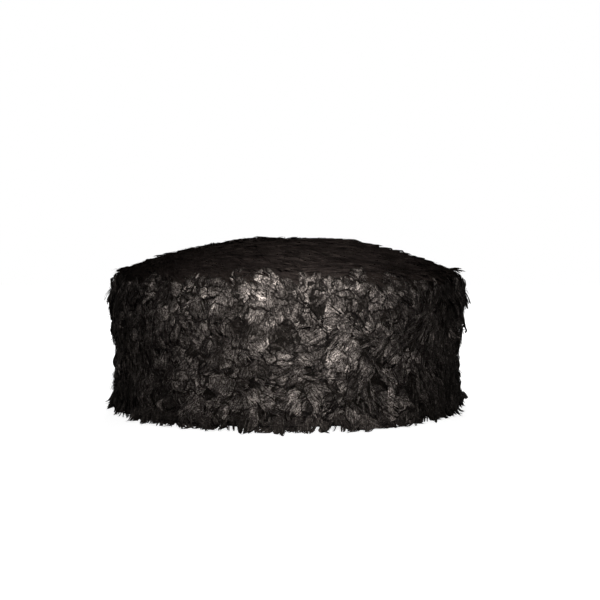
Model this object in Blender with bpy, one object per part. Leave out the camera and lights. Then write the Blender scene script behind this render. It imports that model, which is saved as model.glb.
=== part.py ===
"""A feather pillbox hat that stands on its hem.

It has three sewn pieces: an oval side band, a domed crown, and a fringe of pointed
feathers along the turned hem. Each piece is a backing cloth with feather locks fused
to it. The locks lie in courses, and each course overlaps the next one like shingles.

Units are metres. +Z is up, +X runs across the head and -Y is the front. The origin is
on the table, under the middle of the hat.
"""

import math
import random
from typing import NamedTuple

import bmesh
import bpy

# Head opening, as the full axes of its oval
HEAD_WIDTH = 0.168
HEAD_LENGTH = 0.198

# Heights of the three pieces, and the gap where one is sewn to the next
HEM_TOP = 0.0050
BAND_TOP = 0.0680
CROWN_APEX = 0.0930
SEAM_GAP = 0.0003

# Locks round the hat, and the columns of points across each lock
LOCKS = 44
COLUMNS_PER_LOCK = 3
COLUMNS = LOCKS * COLUMNS_PER_LOCK

# Shape of a lock on the band. A reach is measured out from the wall of the head opening.
SEAM_REACH = 0.0110
HEM_REACH = 0.0095
ROOT_DEPTH = 0.0052
GAP_DEPTH = 0.0028
BELLY_DEPTH = 0.0007
SCALLOP = 0.0042
UNDERCUT = 0.0012
BAND_DROP_SPREAD = 0.0014
BAND_REACH_SPREAD = 0.0010

# Shape of the crown: its dome and its locks
CROWN_REACH = 0.0150
DOME_DROP = 0.0195
RIM_ROUND = 0.0030
RIM_START = 0.80
CEILING_APEX = 0.0840
CROWN_ROOT_DEPTH = 0.0026
CROWN_GAP_DEPTH = 0.0014
CROWN_SCALLOP = 0.045
FULL_SIZE_SHARE = 0.36
CROWN_UNDERCUT = 0.012
CROWN_HEIGHT_SPREAD = 0.0006
SWIRL = 0.45

# Shape of the fringe: pointed tips between short gaps
FRINGE_TIP_REACH = 0.0150
FRINGE_GAP_REACH = 0.0112
FRINGE_TIP_HEIGHT = 0.0014
FRINGE_GAP_HEIGHT = 0.0030
FRINGE_FOOT_REACH = 0.0090
FRINGE_REACH_SPREAD = 0.0018
FRINGE_LEAN_SPREAD = 0.45

SEED = 7
SHARP_ANGLE = math.radians(50)


class Course(NamedTuple):
    """One course of locks on the band."""

    lip_height: float
    tip_reach: float


class Ring(NamedTuple):
    """One course of locks on the crown. The share is its lip's, from centre 0 to rim 1."""

    lip_share: float
    locks: int


class Finish(NamedTuple):
    """Colour and roughness of a piece."""

    colour: tuple
    roughness: float


BAND_COURSES = (
    Course(lip_height=0.0600, tip_reach=0.0160),
    Course(lip_height=0.0502, tip_reach=0.0148),
    Course(lip_height=0.0404, tip_reach=0.0136),
    Course(lip_height=0.0306, tip_reach=0.0130),
    Course(lip_height=0.0208, tip_reach=0.0135),
    Course(lip_height=0.0110, tip_reach=0.0145),
)

CROWN_RINGS = (
    Ring(lip_share=0.13, locks=LOCKS // 4),
    Ring(lip_share=0.27, locks=LOCKS // 4),
    Ring(lip_share=0.42, locks=LOCKS // 2),
    Ring(lip_share=0.57, locks=LOCKS // 2),
    Ring(lip_share=0.72, locks=LOCKS),
    Ring(lip_share=0.86, locks=LOCKS),
    Ring(lip_share=1.00, locks=LOCKS),
)

CEILING_SHARES = (0.66, 0.33)

FINISHES = {
    "side_band": Finish(colour=(0.030, 0.026, 0.024, 1.0), roughness=0.72),
    "crown": Finish(colour=(0.018, 0.015, 0.013, 1.0), roughness=0.82),
    "hem_fringe": Finish(colour=(0.014, 0.012, 0.011, 1.0), roughness=0.78),
}


def clear_scene():
    """Removes whatever the scene holds."""
    for obj in list(bpy.data.objects):
        bpy.data.objects.remove(obj, do_unlink=True)


def oval_point(bm, reach, angle, height):
    """A point outside the wall of the head opening by the reach."""
    x = (HEAD_WIDTH / 2 + reach) * math.cos(angle)
    y = (HEAD_LENGTH / 2 + reach) * math.sin(angle)
    return bm.verts.new((x, y, height))


def column_angle(column, columns=COLUMNS):
    """The angle of a column of points round the hat."""
    return math.tau * column / columns


def fullness(column, offset):
    """0 in the gap between two locks, towards 1 at the middle of a lock."""
    return math.sin(math.pi * ((column + offset) % COLUMNS_PER_LOCK) / COLUMNS_PER_LOCK)


def lock_spread(rng, locks, offset, columns, spread):
    """A random change for each column, the same for all the columns of one lock."""
    changes = [rng.uniform(-spread, spread) for _ in range(locks)]
    return [changes[(c + offset) // COLUMNS_PER_LOCK % locks] for c in range(columns)]


def plain_loop(bm, reach, height, columns=COLUMNS):
    """A smooth oval loop of points."""
    return [oval_point(bm, reach, column_angle(c, columns), height) for c in range(columns)]


def bridge(bm, first, second):
    """Faces between two closed loops. The second has as many points, or half or double."""
    if len(first) > len(second):
        first, second = second, first
    step = len(second) // len(first)
    count = len(first)
    for c in range(count):
        after = (c + 1) % count
        if step == 1:
            bm.faces.new((first[c], second[c], second[after], first[after]))
            continue
        near, middle, far = second[2 * c], second[2 * c + 1], second[2 * c + 2 - 2 * count]
        bm.faces.new((first[c], near, middle))
        bm.faces.new((first[c], middle, first[after]))
        bm.faces.new((first[after], middle, far))


def fan(bm, loop, centre):
    """Triangles from a closed loop to one point."""
    for c, point in enumerate(loop):
        bm.faces.new((point, loop[(c + 1) % len(loop)], centre))


def bridge_in_order(bm, loops, closed=False):
    """Faces between each loop and the one after it."""
    for first, second in zip(loops, loops[1:]):
        bridge(bm, first, second)
    if closed:
        bridge(bm, loops[-1], loops[0])


def finish_piece(bm, name):
    """Makes the object of a piece, with its own material."""
    bmesh.ops.recalc_face_normals(bm, faces=bm.faces)
    bmesh.ops.triangulate(bm, faces=bm.faces)
    mesh = bpy.data.meshes.new(name)
    bm.to_mesh(mesh)
    bm.free()
    mesh.shade_smooth()
    mesh.set_sharp_from_angle(angle=SHARP_ANGLE)
    material = bpy.data.materials.new(name)
    material.use_nodes = True
    shader = material.node_tree.nodes["Principled BSDF"]
    shader.inputs["Base Color"].default_value = FINISHES[name].colour
    shader.inputs["Roughness"].default_value = FINISHES[name].roughness
    shader.inputs["Metallic"].default_value = 0.0
    mesh.materials.append(material)
    obj = bpy.data.objects.new(name, mesh)
    bpy.context.scene.collection.objects.link(obj)
    return obj


def band_course_loops(bm, index, rng, heights_above):
    """The root, belly and lip loops of one course, and the heights of its lip.

    heights_above holds the lip of the course above, column by column. The root starts
    just above it, so that the lip overhangs the root.
    """
    course = BAND_COURSES[index]
    offset = index % COLUMNS_PER_LOCK
    drops = lock_spread(rng, LOCKS, offset, COLUMNS, BAND_DROP_SPREAD)
    swells = lock_spread(rng, LOCKS, offset, COLUMNS, BAND_REACH_SPREAD)
    root, belly, lip, lip_heights = [], [], [], []
    for column in range(COLUMNS):
        angle = column_angle(column)
        full = fullness(column, offset)
        swell = full * swells[column]
        lip_height = course.lip_height + SCALLOP * (0.5 - full) + full * drops[column]
        lip_reach = course.tip_reach - GAP_DEPTH * (1 - full) + swell
        root_height = heights_above[column]
        belly_height = (root_height + lip_height) / 2
        belly_reach = course.tip_reach - BELLY_DEPTH - GAP_DEPTH * (1 - full) / 2 + swell
        if index:
            root.append(oval_point(bm, course.tip_reach - ROOT_DEPTH, angle, root_height + UNDERCUT))
        belly.append(oval_point(bm, belly_reach, angle, belly_height))
        lip.append(oval_point(bm, lip_reach, angle, lip_height))
        lip_heights.append(lip_height)
    loops = [root, belly, lip] if index else [belly, lip]
    return loops, lip_heights


def build_side_band():
    """The oval wall: a straight inner face, with courses of locks outside."""
    bm = bmesh.new()
    rng = random.Random(SEED)
    band_bottom = HEM_TOP + SEAM_GAP
    loops = [plain_loop(bm, 0.0, BAND_TOP), plain_loop(bm, SEAM_REACH, BAND_TOP)]
    heights = [BAND_TOP] * COLUMNS
    for index in range(len(BAND_COURSES)):
        course_loops, heights = band_course_loops(bm, index, rng, heights)
        loops.extend(course_loops)
    loops.append(plain_loop(bm, HEM_REACH, band_bottom))
    loops.append(plain_loop(bm, 0.0, band_bottom))
    bridge_in_order(bm, loops, closed=True)
    return finish_piece(bm, "side_band")


def dome_height(share):
    """Height of the lock tips on the crown, with its rim rounded off."""
    past_rim = max(0.0, share - RIM_START) / (1 - RIM_START)
    return CROWN_APEX - DOME_DROP * share**2 - RIM_ROUND * past_rim**2


def ceiling_height(share):
    """Height of the crown's underside over the head opening."""
    rim = BAND_TOP + SEAM_GAP
    return CEILING_APEX - (CEILING_APEX - rim) * share**2


def crown_point(bm, share, angle, height):
    """A point on the crown, turned by the swirl of its locks."""
    turned = angle + SWIRL * share
    x = (HEAD_WIDTH / 2 + CROWN_REACH) * share * math.cos(turned)
    y = (HEAD_LENGTH / 2 + CROWN_REACH) * share * math.sin(turned)
    return bm.verts.new((x, y, height))


def crown_ring_loops(bm, index, rng):
    """The root, belly and lip loops of one ring of locks. The first ring has no root."""
    ring = CROWN_RINGS[index]
    inner_lip = CROWN_RINGS[index - 1].lip_share if index else 0.0
    columns = ring.locks * COLUMNS_PER_LOCK
    offset = index % COLUMNS_PER_LOCK
    size = min(1.0, ring.lip_share / FULL_SIZE_SHARE)
    lifts = lock_spread(rng, ring.locks, offset, columns, CROWN_HEIGHT_SPREAD * size)
    root_share = inner_lip * (1 - CROWN_UNDERCUT) - CROWN_SCALLOP * min(1.0, inner_lip / FULL_SIZE_SHARE)
    root, belly, lip = [], [], []
    for column in range(columns):
        angle = column_angle(column, columns)
        full = fullness(column, offset)
        gap = CROWN_GAP_DEPTH * size * (1 - full)
        lip_share = ring.lip_share + CROWN_SCALLOP * size * (full - 1)
        belly_share = (inner_lip + lip_share) / 2
        lift = full * lifts[column]
        if index:
            root_height = dome_height(root_share) - CROWN_ROOT_DEPTH
            root.append(crown_point(bm, root_share, angle, root_height))
        belly.append(crown_point(bm, belly_share, angle, dome_height(belly_share) - gap / 2 + lift))
        lip.append(crown_point(bm, lip_share, angle, dome_height(lip_share) - gap + lift))
    return [root, belly, lip] if index else [belly, lip]


def build_crown():
    """The domed top: rings of swirled locks over a plain domed underside."""
    bm = bmesh.new()
    rng = random.Random(SEED + 1)
    seam_height = BAND_TOP + SEAM_GAP
    top = []
    for index in range(len(CROWN_RINGS)):
        top.extend(crown_ring_loops(bm, index, rng))
    fan(bm, top[0], bm.verts.new((0.0, 0.0, dome_height(0.0))))
    bridge_in_order(bm, top)

    lip = top[-1]
    swirled = round(SWIRL / math.tau * COLUMNS)
    seam = plain_loop(bm, SEAM_REACH, seam_height)
    seam = seam[swirled:] + seam[:swirled]
    opening = plain_loop(bm, 0.0, seam_height)
    opening = opening[swirled:] + opening[:swirled]
    bridge_in_order(bm, [lip, seam, opening])

    ceiling = [opening]
    columns = COLUMNS
    for share in CEILING_SHARES:
        columns //= 2
        turn = math.tau * swirled / COLUMNS
        ceiling.append(
            [
                oval_point(
                    bm,
                    0.0,
                    column_angle(c, columns) + turn,
                    ceiling_height(share),
                )
                for c in range(columns)
            ]
        )
        for point in ceiling[-1]:
            point.co.x *= share
            point.co.y *= share
    bridge_in_order(bm, ceiling)
    fan(bm, ceiling[-1], bm.verts.new((0.0, 0.0, ceiling_height(0.0))))
    return finish_piece(bm, "crown")


def build_hem_fringe():
    """The turned hem that the hat stands on, with a pointed tip at every second column."""
    bm = bmesh.new()
    rng = random.Random(SEED + 2)
    lip = []
    for column in range(COLUMNS):
        if column % 2:
            lip.append(oval_point(bm, FRINGE_GAP_REACH, column_angle(column), FRINGE_GAP_HEIGHT))
            continue
        reach = FRINGE_TIP_REACH + rng.uniform(-FRINGE_REACH_SPREAD, FRINGE_REACH_SPREAD)
        lean = rng.uniform(-FRINGE_LEAN_SPREAD, FRINGE_LEAN_SPREAD)
        lip.append(oval_point(bm, reach, column_angle(column + lean), FRINGE_TIP_HEIGHT))
    loops = [
        plain_loop(bm, 0.0, HEM_TOP),
        plain_loop(bm, HEM_REACH, HEM_TOP),
        lip,
        plain_loop(bm, FRINGE_FOOT_REACH, 0.0),
        plain_loop(bm, 0.0, 0.0),
    ]
    bridge_in_order(bm, loops, closed=True)
    return finish_piece(bm, "hem_fringe")


def main():
    """Builds the hat."""
    clear_scene()
    build_side_band()
    build_crown()
    build_hem_fringe()


main()
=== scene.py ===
"""Looks of a feather pillbox hat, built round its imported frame.

The hat has an oval side band, a domed crown and a turned hem. Each has a backing cloth
that carries feather vanes and tufts of loose barbs. A few forms of each are modelled, and
Geometry Nodes strew them over guide surfaces that follow the hat.

Units are metres. +Z is up, -Y is the front, and the hat stands on the floor at z 0.
"""

import enum
import logging
import math
import random
from collections.abc import Callable
from dataclasses import dataclass

import bmesh
import bpy
from mathutils import Euler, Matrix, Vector, noise


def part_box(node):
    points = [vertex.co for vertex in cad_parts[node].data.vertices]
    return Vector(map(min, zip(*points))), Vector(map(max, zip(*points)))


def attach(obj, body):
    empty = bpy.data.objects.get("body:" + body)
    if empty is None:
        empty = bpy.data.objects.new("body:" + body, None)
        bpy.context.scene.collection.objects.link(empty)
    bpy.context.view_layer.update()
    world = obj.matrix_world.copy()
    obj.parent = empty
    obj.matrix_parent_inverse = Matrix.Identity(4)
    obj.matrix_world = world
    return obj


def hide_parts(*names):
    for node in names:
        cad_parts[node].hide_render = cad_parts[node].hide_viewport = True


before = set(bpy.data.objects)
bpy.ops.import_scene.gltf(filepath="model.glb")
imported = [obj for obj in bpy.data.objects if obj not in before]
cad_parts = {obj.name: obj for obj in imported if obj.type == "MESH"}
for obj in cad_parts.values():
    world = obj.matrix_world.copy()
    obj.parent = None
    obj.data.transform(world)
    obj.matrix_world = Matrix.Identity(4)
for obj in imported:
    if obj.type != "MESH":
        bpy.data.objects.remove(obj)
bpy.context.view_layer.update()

LOG = logging.getLogger("pillbox_hat")
BODY = "root"
TAU = math.tau

# Short names for Blender's types, for a colour without its alpha and for a range
Tree = bpy.types.NodeTree
Node = bpy.types.Node
Socket = bpy.types.NodeSocket
Colour = tuple[float, float, float]
Span = tuple[float, float]

# The vanes' own coordinates, and the attributes of lay, cover and tone
BARB_UV = "barb_uv"
LAY = "lay"
COVER = "cover"
TONE = "tone"

# Material slots of the hat's three parts
BAND_SLOT = "band_feather"
CROWN_SLOT = "crown_feather"
HEM_SLOT = "hem_feather"

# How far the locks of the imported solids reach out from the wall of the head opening
FULL_REACH = 0.0163

# Gap between two pieces that are sewn together
SEAM_GAP = 0.0003

# Greatest number that a form is picked by. It counts round and round the forms
LAST_PICK = 1000


class Lay(enum.Enum):
    """How the feathers on a surface lie."""

    WHORLED = "whorled"
    SWIRLED = "swirled"


@dataclass(frozen=True)
class VaneShape:
    """Form of one feather vane of unit length, lying along +Y with its back to +Z.

    The sizes are shares of the vane's length. The midrib rises at the start slope and
    bends to the end slope, both in degrees.
    """

    name: str
    width: float
    start_slope: float = 25.0
    end_slope: float = -45.0
    cup: float = 0.12
    ruffle: float = 0.03
    waves: float = 2.0
    ragged: float = 0.06
    point: float = 0.0
    splits: int = 1
    rows: int = 6
    columns: int = 8


@dataclass(frozen=True)
class TuftShape:
    """Form of a tuft of loose barbs that fan out from one root along +Y.

    The sizes are shares of the tuft's length, and the slopes and the fan are in degrees.
    """

    name: str
    barbs: int
    width: float
    fan: float
    start_slope: float
    end_slope: float
    spread: float = 0.25
    joints: int = 3


@dataclass(frozen=True)
class Layer:
    """A piece of feathers strewn over a guide. Lengths are in metres, angles in radians."""

    piece: str
    slot: str
    finish: str
    spacing: float
    density: float
    length: float
    size_spread: float
    width_spread: float
    lift: float
    lift_spread: float
    roll: float
    turn: float
    sink: float
    seed: int


@dataclass(frozen=True)
class LayField:
    """Which way the feathers lie: turns from straight onward, in radians, and wandering noise.

    A whorled lay also turns in smaller whorls. A combed lay wanders less on the hat's flanks.
    """

    pattern: Lay
    start_turn: float
    end_turn: float
    whorl: float
    whorl_size: float
    seed: float
    combed: float = 0.0
    small_whorl: float = 0.8
    small_size: float = 0.4
    small_seed: float = 3.7
    flank: Span = (0.055, 0.092)

    def turn_at(self, point: Vector, share: float) -> float:
        """How far the lay is turned at a point.

        Args:
            point: the point.
            share: its share of the way along the guide.

        Returns:
            The turn, in radians.
        """
        steady = self.start_turn + (self.end_turn - self.start_turn) * share
        wander = self.whorl * ripple(point, self.whorl_size, self.seed)
        if self.pattern is Lay.WHORLED:
            small = ripple(point, self.whorl_size * self.small_size, self.seed + self.small_seed)
            wander += self.small_whorl * self.whorl * small
        calm = self.combed * smooth_step(abs(point.x), *self.flank)
        return steady + wander * (1.0 - calm)


@dataclass(frozen=True)
class FeatherFinish:
    """Colours and gloss of the feathers of one piece. Patches, flakes and lobes are in metres."""

    name: str
    dark: Colour
    light: Colour
    matt: float
    gloss: float
    specular: float
    across: float = 16.0
    along: float = 3.0
    relief: float = 0.9
    relief_depth: float = 0.0010
    streak_relief: float = 0.14
    # Size of the patches of painted sheen
    patch: float = 0.018
    # Size of the flakes and lobes and the shares that show, with their painted crack shadows and painted
    # shaded sides
    flake: float = 0.0125
    cracked: float = 0.97
    lobe: float = 0.0064
    lobes_shown: float = 0.60
    sheen: Colour = (1.0, 0.84, 0.74)

    def make(self) -> bpy.types.Material:
        """Builds the material.

        Returns:
            The feather material, which reads each vane's own tone and barb coordinates.
        """
        shader = ShaderBuilder(self.name)
        tree = shader.tree
        barbs = shader.group(barb_group(), Across=self.across, Along=self.along).outputs
        sheen_and_grain = shader.group(sheen_and_grain_group(), Patch=self.patch).outputs
        flakes = shader.group(flake_group(), Flake=self.flake, Cracked=self.cracked).outputs
        lobes = shader.group(flake_group(), Flake=self.lobe, Cracked=self.lobes_shown).outputs
        # The light colour's share holds the vanes' tones and grain, with painted shade at roots, edges and
        # flake sides, painted crack shadows and painted sheen patches
        lit = times(tree, barbs["Shade"], sheen_and_grain["Nap"])
        share = times(tree, lit, times(tree, flakes["Mask"], lobes["Mask"]))
        swells = (times(tree, flakes["Swell"], self.cracked), times(tree, lobes["Swell"], self.lobes_shown))
        streaks = times(tree, barbs["Streak"], self.streak_relief)
        height = computed(tree, "ADD", streaks, computed(tree, "ADD", *swells))
        shader.tint(share, self.dark, self.light)
        shader.surface("Roughness", ranged(tree, share, (0.0, 1.0), (self.matt, self.gloss)))
        shader.emboss(height, self.relief, self.relief_depth)
        shader.surface("Specular IOR Level", self.specular)
        shader.surface("Specular Tint", (*self.sheen, 1.0))
        return shader.material


@dataclass(frozen=True)
class ClothFinish:
    """Colour and weave of the backing cloth. The thread is in metres."""

    name: str
    colour: Colour
    thread: float
    roughness: float = 1.0
    specular: float = 0.02
    contrast: float = 0.4
    relief: float = 0.5

    def make(self) -> bpy.types.Material:
        """Builds the material.

        Returns:
            The cloth material, with a fine twill in its colour and relief.
        """
        shader = ShaderBuilder(self.name)
        height = shader.group(weave_group(), Thread=self.thread).outputs["Thread Height"]
        dark = tuple(c * (1.0 - self.contrast) for c in self.colour)
        light = tuple(c * (1.0 + self.contrast) for c in self.colour)
        shader.tint(height, dark, light)
        shader.emboss(height, self.relief, self.thread / 3)
        shader.surface("Roughness", self.roughness)
        shader.surface("Specular IOR Level", self.specular)
        return shader.material


class ShaderBuilder:
    """A small helper that builds one material's nodes."""

    def __init__(self, name: str) -> None:
        """Starts a material with one Principled BSDF.

        Args:
            name: the material's name.
        """
        self.material = bpy.data.materials.new(name)
        self.material.use_nodes = True
        self.tree = self.material.node_tree
        self.principled = self.tree.nodes["Principled BSDF"]

    def group(self, tree: Tree, **values: float) -> Node:
        """Adds a group node that uses a tree.

        Args:
            tree: the group's tree.
            **values: the values of its inputs.

        Returns:
            The group node.
        """
        node = add_node(self.tree, "ShaderNodeGroup", node_tree=tree)
        for name, value in values.items():
            node.inputs[name].default_value = value
        return node

    def surface(self, name: str, source: Socket | float | tuple) -> None:
        """Feeds a socket of the Principled BSDF from another socket, or sets it to a value."""
        feed(self.tree, source, self.principled.inputs[name])

    def tint(self, share: Socket, dark: Colour, light: Colour) -> None:
        """Colours the surface.

        Args:
            share: the socket of the share of the light colour.
            dark: the colour where the share is 0.
            light: the colour where the share is 1.
        """
        mix = add_node(self.tree, "ShaderNodeMix", data_type="RGBA")
        for source, target in ((share, 0), ((*dark, 1.0), 6), ((*light, 1.0), 7)):
            feed(self.tree, source, mix.inputs[target])
        self.surface("Base Color", mix.outputs[2])

    def emboss(self, height: Socket, strength: float, depth: float) -> None:
        """Gives the surface a relief.

        Args:
            height: the socket of the height, from 0 to about 1.
            strength: the share of the relief that shows.
            depth: the height in metres where the socket says 1.
        """
        inputs = {"Height": height, "Strength": strength, "Distance": depth}
        self.surface("Normal", wired(self.tree, "ShaderNodeBump", inputs).outputs["Normal"])


def add_node(tree: Tree, kind: str, **settings: object) -> Node:
    """Adds a node to a tree and sets its properties.

    Args:
        tree: the tree.
        kind: the node's type name.
        **settings: its properties.

    Returns:
        The new node.
    """
    node = tree.nodes.new(kind)
    for key, value in settings.items():
        setattr(node, key, value)
    return node


def feed(tree: Tree, source: Socket | object, target: Socket) -> None:
    """Feeds a socket from another socket, or sets it to a value.

    Args:
        tree: the tree.
        source: the other socket, or the value.
        target: the socket that is fed.
    """
    if isinstance(source, Socket):
        tree.links.new(source, target)
    else:
        target.default_value = source


def wired(tree: Tree, kind: str, inputs: dict[str, object], **settings: object) -> Node:
    """Adds a node and feeds its named inputs.

    Args:
        tree: the tree.
        kind: the node's type name.
        inputs: the socket or the value that each input gets.
        **settings: its properties.

    Returns:
        The new node.
    """
    node = add_node(tree, kind, **settings)
    for name, source in inputs.items():
        feed(tree, source, node.inputs[name])
    return node


def ranged(tree: Tree, source: Socket, old: Span, new: Span) -> Socket:
    """Maps a value from one range to another, clamped.

    Args:
        tree: the tree.
        source: the value's socket.
        old: the range that it is read over.
        new: the range that it is mapped to.

    Returns:
        The socket of the mapped value.
    """
    ends = {"From Min": old[0], "From Max": old[1], "To Min": new[0], "To Max": new[1]}
    return wired(tree, "ShaderNodeMapRange", {"Value": source, **ends}).outputs["Result"]


def computed(tree: Tree, operation: str, first: Socket | float, second: Socket | float) -> Socket:
    """Works out a value from two others.

    Args:
        tree: the tree.
        operation: the sum that is done.
        first: a value's socket, or a number.
        second: a value's socket, or a number.

    Returns:
        The socket of the result.
    """
    node = add_node(tree, "ShaderNodeMath", operation=operation)
    feed(tree, first, node.inputs[0])
    feed(tree, second, node.inputs[1])
    return node.outputs[0]


def times(tree: Tree, first: Socket | float, second: Socket | float) -> Socket:
    """Multiplies a value by another value or by a number."""
    return computed(tree, "MULTIPLY", first, second)


def product(tree: Tree, first: Socket, *others: Socket) -> Socket:
    """Multiplies several values.

    Args:
        tree: the tree.
        first: the first value's socket.
        *others: the sockets of the others.

    Returns:
        The socket of the product.
    """
    for other in others:
        first = times(tree, first, other)
    return first


def vector_maths(tree: Tree, operation: str, first: Socket, second: Socket | Colour) -> Node:
    """Adds a node that works on two vectors.

    Args:
        tree: the tree.
        operation: what it does with them.
        first: the first vector's socket.
        second: the second vector's socket, or its three numbers.

    Returns:
        The node, with the outputs Vector and Value.
    """
    node = add_node(tree, "ShaderNodeVectorMath", operation=operation)
    feed(tree, first, node.inputs[0])
    feed(tree, second, node.inputs[1])
    return node


def scaled(tree: Tree, vector: Socket, factor: Socket) -> Socket:
    """Scales a vector by a value."""
    inputs = {"Vector": vector, "Scale": factor}
    return wired(tree, "ShaderNodeVectorMath", inputs, operation="SCALE").outputs["Vector"]


def centred(tree: Tree, colour: Socket) -> Socket:
    """Turns a random colour into a random vector with its middle at zero."""
    return vector_maths(tree, "SUBTRACT", colour, (0.5, 0.5, 0.5)).outputs["Vector"]


def vector_of(tree: Tree, x: Socket, y: Socket, z: Socket) -> Socket:
    """Puts three values together as a vector."""
    return wired(tree, "ShaderNodeCombineXYZ", {"X": x, "Y": y, "Z": z}).outputs["Vector"]


def one_over(tree: Tree, size: Socket) -> Socket:
    """The scale of a texture whose features have the given size."""
    return computed(tree, "DIVIDE", 1.0, size)


def noise_at(tree: Tree, place: Socket, scale: Socket | float, detail: float = 1.0) -> Node:
    """Adds a noise texture at a place, with a scale and a detail."""
    inputs = {"Vector": place, "Scale": scale, "Detail": detail}
    return wired(tree, "ShaderNodeTexNoise", inputs)


def faded(tree: Tree, share: Socket, value: Socket) -> Socket:
    """Fades a value in.

    Args:
        tree: the tree.
        share: the socket of how far it is faded in.
        value: the value's socket.

    Returns:
        The socket of 1 where the share is 0, and of the value where the share is 1.
    """
    node = add_node(tree, "ShaderNodeMix", data_type="FLOAT")
    for source, target in ((share, 0), (1.0, 2), (value, 3)):
        feed(tree, source, node.inputs[target])
    return node.outputs[0]


def value_group(name: str, inputs: tuple[str, ...], outputs: tuple[str, ...]) -> Tree:
    """Starts a shader group whose sockets hold plain values.

    Args:
        name: the group's name.
        inputs: the names of its inputs.
        outputs: the names of its outputs.

    Returns:
        The group's tree, still empty.
    """
    tree = bpy.data.node_groups.new(name, "ShaderNodeTree")
    for side, names in (("INPUT", inputs), ("OUTPUT", outputs)):
        for socket in names:
            tree.interface.new_socket(socket, in_out=side, socket_type="NodeSocketFloat")
    return tree


def barb_group() -> Tree:
    """The shader group that draws barbs along a vane.

    Returns:
        The group, with the inputs Across and Along, and the outputs Streak and Shade, the vane's tone and
        barbs with painted shade at the root, the sides and the tip.
    """
    if "Barbs" in bpy.data.node_groups:
        return bpy.data.node_groups["Barbs"]
    tree = value_group("Barbs", ("Across", "Along"), ("Streak", "Shade"))
    given = add_node(tree, "NodeGroupInput").outputs
    result = add_node(tree, "NodeGroupOutput").inputs
    place = add_node(tree, "ShaderNodeUVMap", uv_map=BARB_UV).outputs["UV"]
    tone = add_node(tree, "ShaderNodeAttribute", attribute_name=TONE).outputs["Fac"]
    parts = wired(tree, "ShaderNodeSeparateXYZ", {"Vector": place}).outputs
    side, onward = parts["X"], parts["Y"]
    across = times(tree, side, given["Across"])
    along = times(tree, onward, given["Along"])

    # Each vane reads its own part of the noise
    shift = times(tree, tone, 61.0)
    fine = noise_at(tree, vector_of(tree, across, along, shift), 1.0)
    fine.inputs["Roughness"].default_value = 0.6
    fine.inputs["Distortion"].default_value = 0.6
    streak = ranged(tree, fine.outputs["Fac"], (0.39, 0.60), (0.0, 1.0))
    wide = (times(tree, across, 0.17), times(tree, along, 0.9), times(tree, shift, 1.7))
    clump = noise_at(tree, vector_of(tree, *wide), 1.0).outputs["Fac"]
    aside = computed(tree, "ABSOLUTE", computed(tree, "SUBTRACT", side, 0.5), 0.0)

    # Darker at the root (painted shade under the vanes that overlap it), by the vane's tone, in clumps and
    # between barbs, and at the sides and the tip (painted shadow along the edges)
    shade = product(
        tree,
        ranged(tree, onward, (0.0, 0.16), (0.20, 1.0)),
        ranged(tree, tone, (0.0, 1.0), (0.30, 1.0)),
        ranged(tree, clump, (0.36, 0.56), (0.55, 1.0)),
        ranged(tree, streak, (0.0, 1.0), (0.18, 1.0)),
        ranged(tree, aside, (0.44, 0.485), (1.0, 0.10)),
        ranged(tree, onward, (0.92, 0.97), (1.0, 0.15)),
    )
    feed(tree, streak, result["Streak"])
    feed(tree, shade, result["Shade"])
    return tree


def sheen_and_grain_group() -> Tree:
    """The shader group of broad patches of painted sheen, where the pile would catch the light, with a fine
    matted grain.

    Returns:
        The group, with the input Patch in metres and the output Nap, which is 1 where it shines.
    """
    if "Nap" in bpy.data.node_groups:
        return bpy.data.node_groups["Nap"]
    tree = value_group("Nap", ("Patch",), ("Nap",))
    given = add_node(tree, "NodeGroupInput").outputs
    result = add_node(tree, "NodeGroupOutput").inputs
    place = add_node(tree, "ShaderNodeTexCoord").outputs["Object"]
    scale = one_over(tree, given["Patch"])
    patches = noise_at(tree, place, scale).outputs["Fac"]
    grain = noise_at(tree, place, times(tree, scale, 30.0)).outputs["Fac"]
    # Broad patches of painted sheen, and a fine matted grain
    broad = ranged(tree, patches, (0.36, 0.60), (0.56, 1.0))
    fine = ranged(tree, grain, (0.42, 0.58), (0.24, 1.0))
    feed(tree, times(tree, broad, fine), result["Nap"])
    return tree


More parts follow.
